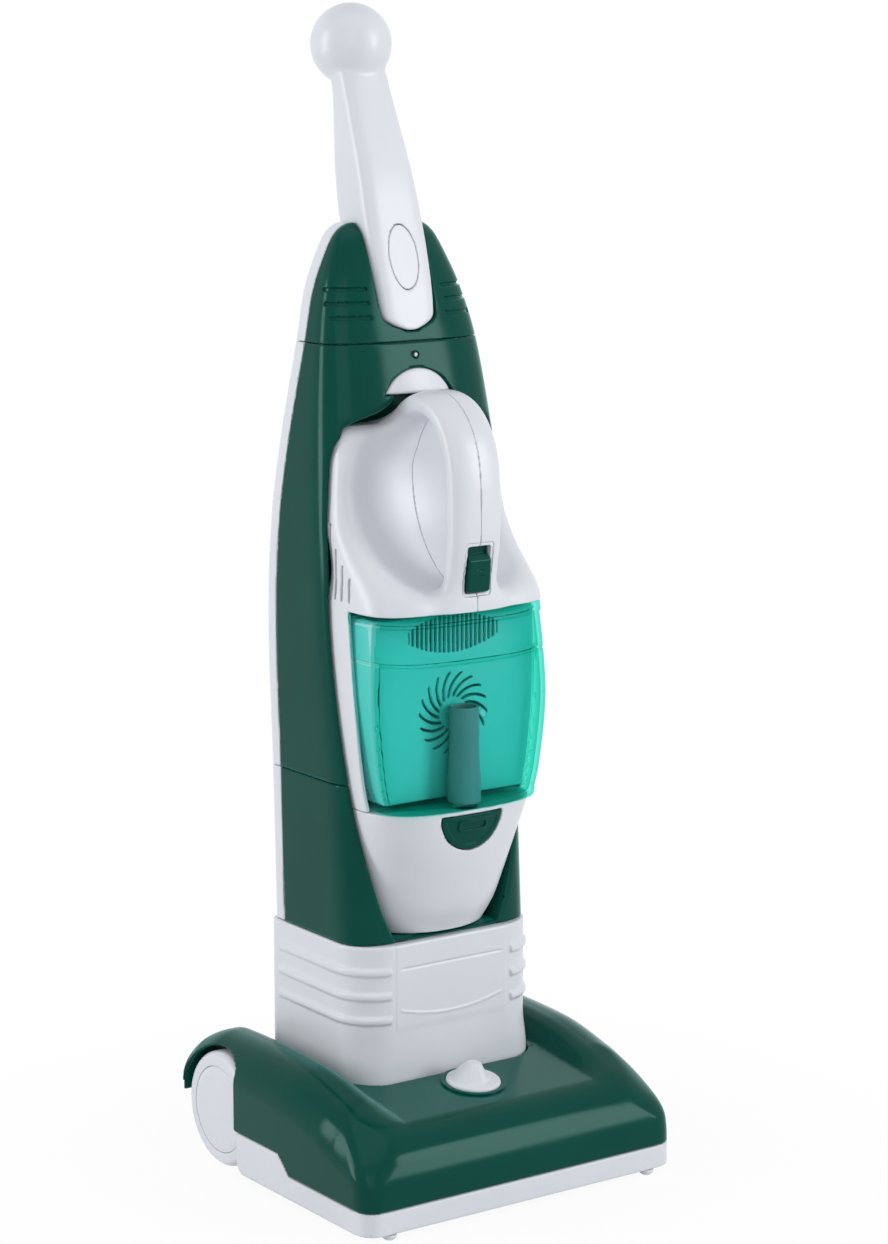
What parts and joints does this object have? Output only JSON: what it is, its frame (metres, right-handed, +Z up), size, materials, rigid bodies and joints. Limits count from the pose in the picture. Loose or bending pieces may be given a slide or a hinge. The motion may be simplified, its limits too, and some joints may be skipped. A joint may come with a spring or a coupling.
{
  "type": "toy upright vacuum cleaner",
  "caption": "Toy upright vacuum cleaner with a tilting ribbed neck, a ball-topped handle, a turning height knob, rear wheels, and a hand vacuum with a clear bin docked in its front.",
  "frame": {"origin": "on the floor, under the middle of the base's outline", "axes": "+Z up, -Y the front that faces the picture's viewer, +X to the right of a viewer in front of it; left and right in the names are that viewer's"},
  "size_m": [0.204, 0.186, 0.63],
  "materials": {
    "green_plastic": "gloss",
    "white_plastic": "gloss",
    "clear_green": "clear gloss",
    "grey_plastic": "satin",
    "steel": "plain",
    "lens": "gloss"
  },
  "bodies": {
    "base": {"base_cover": "green_plastic", "base_pan": "white_plastic", "front_glides": "white_plastic", "axle": "steel", "pan_screws": "steel", "knob_ring": "green_plastic"},
    "wheel_left": {"wheel_left": "white_plastic", "hub_cap_left": "white_plastic"},
    "wheel_right": {"wheel_right": "white_plastic", "hub_cap_right": "white_plastic"},
    "knob": {"height_knob": "white_plastic", "knob_screw": "steel"},
    "upright": {"collar": "white_plastic", "lower_front_shell": "green_plastic", "lower_rear_shell": "white_plastic", "main_front_shell": "green_plastic", "main_rear_shell": "white_plastic", "cap_front": "green_plastic", "cap_rear": "white_plastic", "dock_tray": "green_plastic", "handle_left": "white_plastic", "handle_right": "white_plastic", "handle_inlay": "white_plastic", "indicator_lens": "lens", "body_screws": "steel"},
    "release_button": {"release_button": "white_plastic"},
    "hand_vac": {"hand_left": "white_plastic", "hand_right": "white_plastic", "nozzle": "white_plastic", "fan_guard": "white_plastic", "motor_plate": "grey_plastic", "motor": "steel", "battery_box": "white_plastic", "battery_cells": "grey_plastic", "battery_door": "white_plastic", "hand_screws": "steel"},
    "fan": {"fan": "white_plastic"},
    "bin": {"dust_bin": "clear_green", "intake_tube": "grey_plastic"},
    "bin_latch": {"bin_latch": "green_plastic"},
    "power_switch": {"power_switch": "green_plastic"}
  },
  "joints": [
    {"name": "body_tilt", "type": "hinge", "parent": "base", "child": "upright", "pos_m": [0, 0.0574, 0.032], "axis": [-1, 0, 0], "range_deg": [0, 50]},
    {"name": "wheel_left_spin", "type": "hinge", "parent": "base", "child": "wheel_left", "pos_m": [-0.09, 0.0574, 0.032], "axis": [1, 0, 0], "continuous": true},
    {"name": "wheel_right_spin", "type": "hinge", "parent": "base", "child": "wheel_right", "pos_m": [0.09, 0.0574, 0.032], "axis": [1, 0, 0], "continuous": true},
    {"name": "knob_turn", "type": "hinge", "parent": "base", "child": "knob", "pos_m": [0, -0.045, 0.0565], "axis": [0, -0.1184, 0.993], "range_deg": [-90, 90]},
    {"name": "release_press", "type": "slide", "parent": "upright", "child": "release_button", "axis": [0, 1, 0], "range_m": [0, 0.003], "stiffness_N_per_m": 300},
    {"name": "handvac_dock", "type": "slide", "parent": "upright", "child": "hand_vac", "axis": [0, -1, 0], "range_m": [0, 0.16]},
    {"name": "fan_spin", "type": "hinge", "parent": "hand_vac", "child": "fan", "pos_m": [0, -0.012, 0.2635], "axis": [0, 1, 0], "continuous": true},
    {"name": "bin_pull", "type": "slide", "parent": "hand_vac", "child": "bin", "axis": [0, -1, 0], "range_m": [0, 0.06]},
    {"name": "latch_press", "type": "slide", "parent": "hand_vac", "child": "bin_latch", "axis": [0, 1, 0], "range_m": [0, 0.002], "stiffness_N_per_m": 300},
    {"name": "switch_slide", "type": "slide", "parent": "hand_vac", "child": "power_switch", "axis": [0, 0, 1], "range_m": [0, 0.004]}
  ]
}
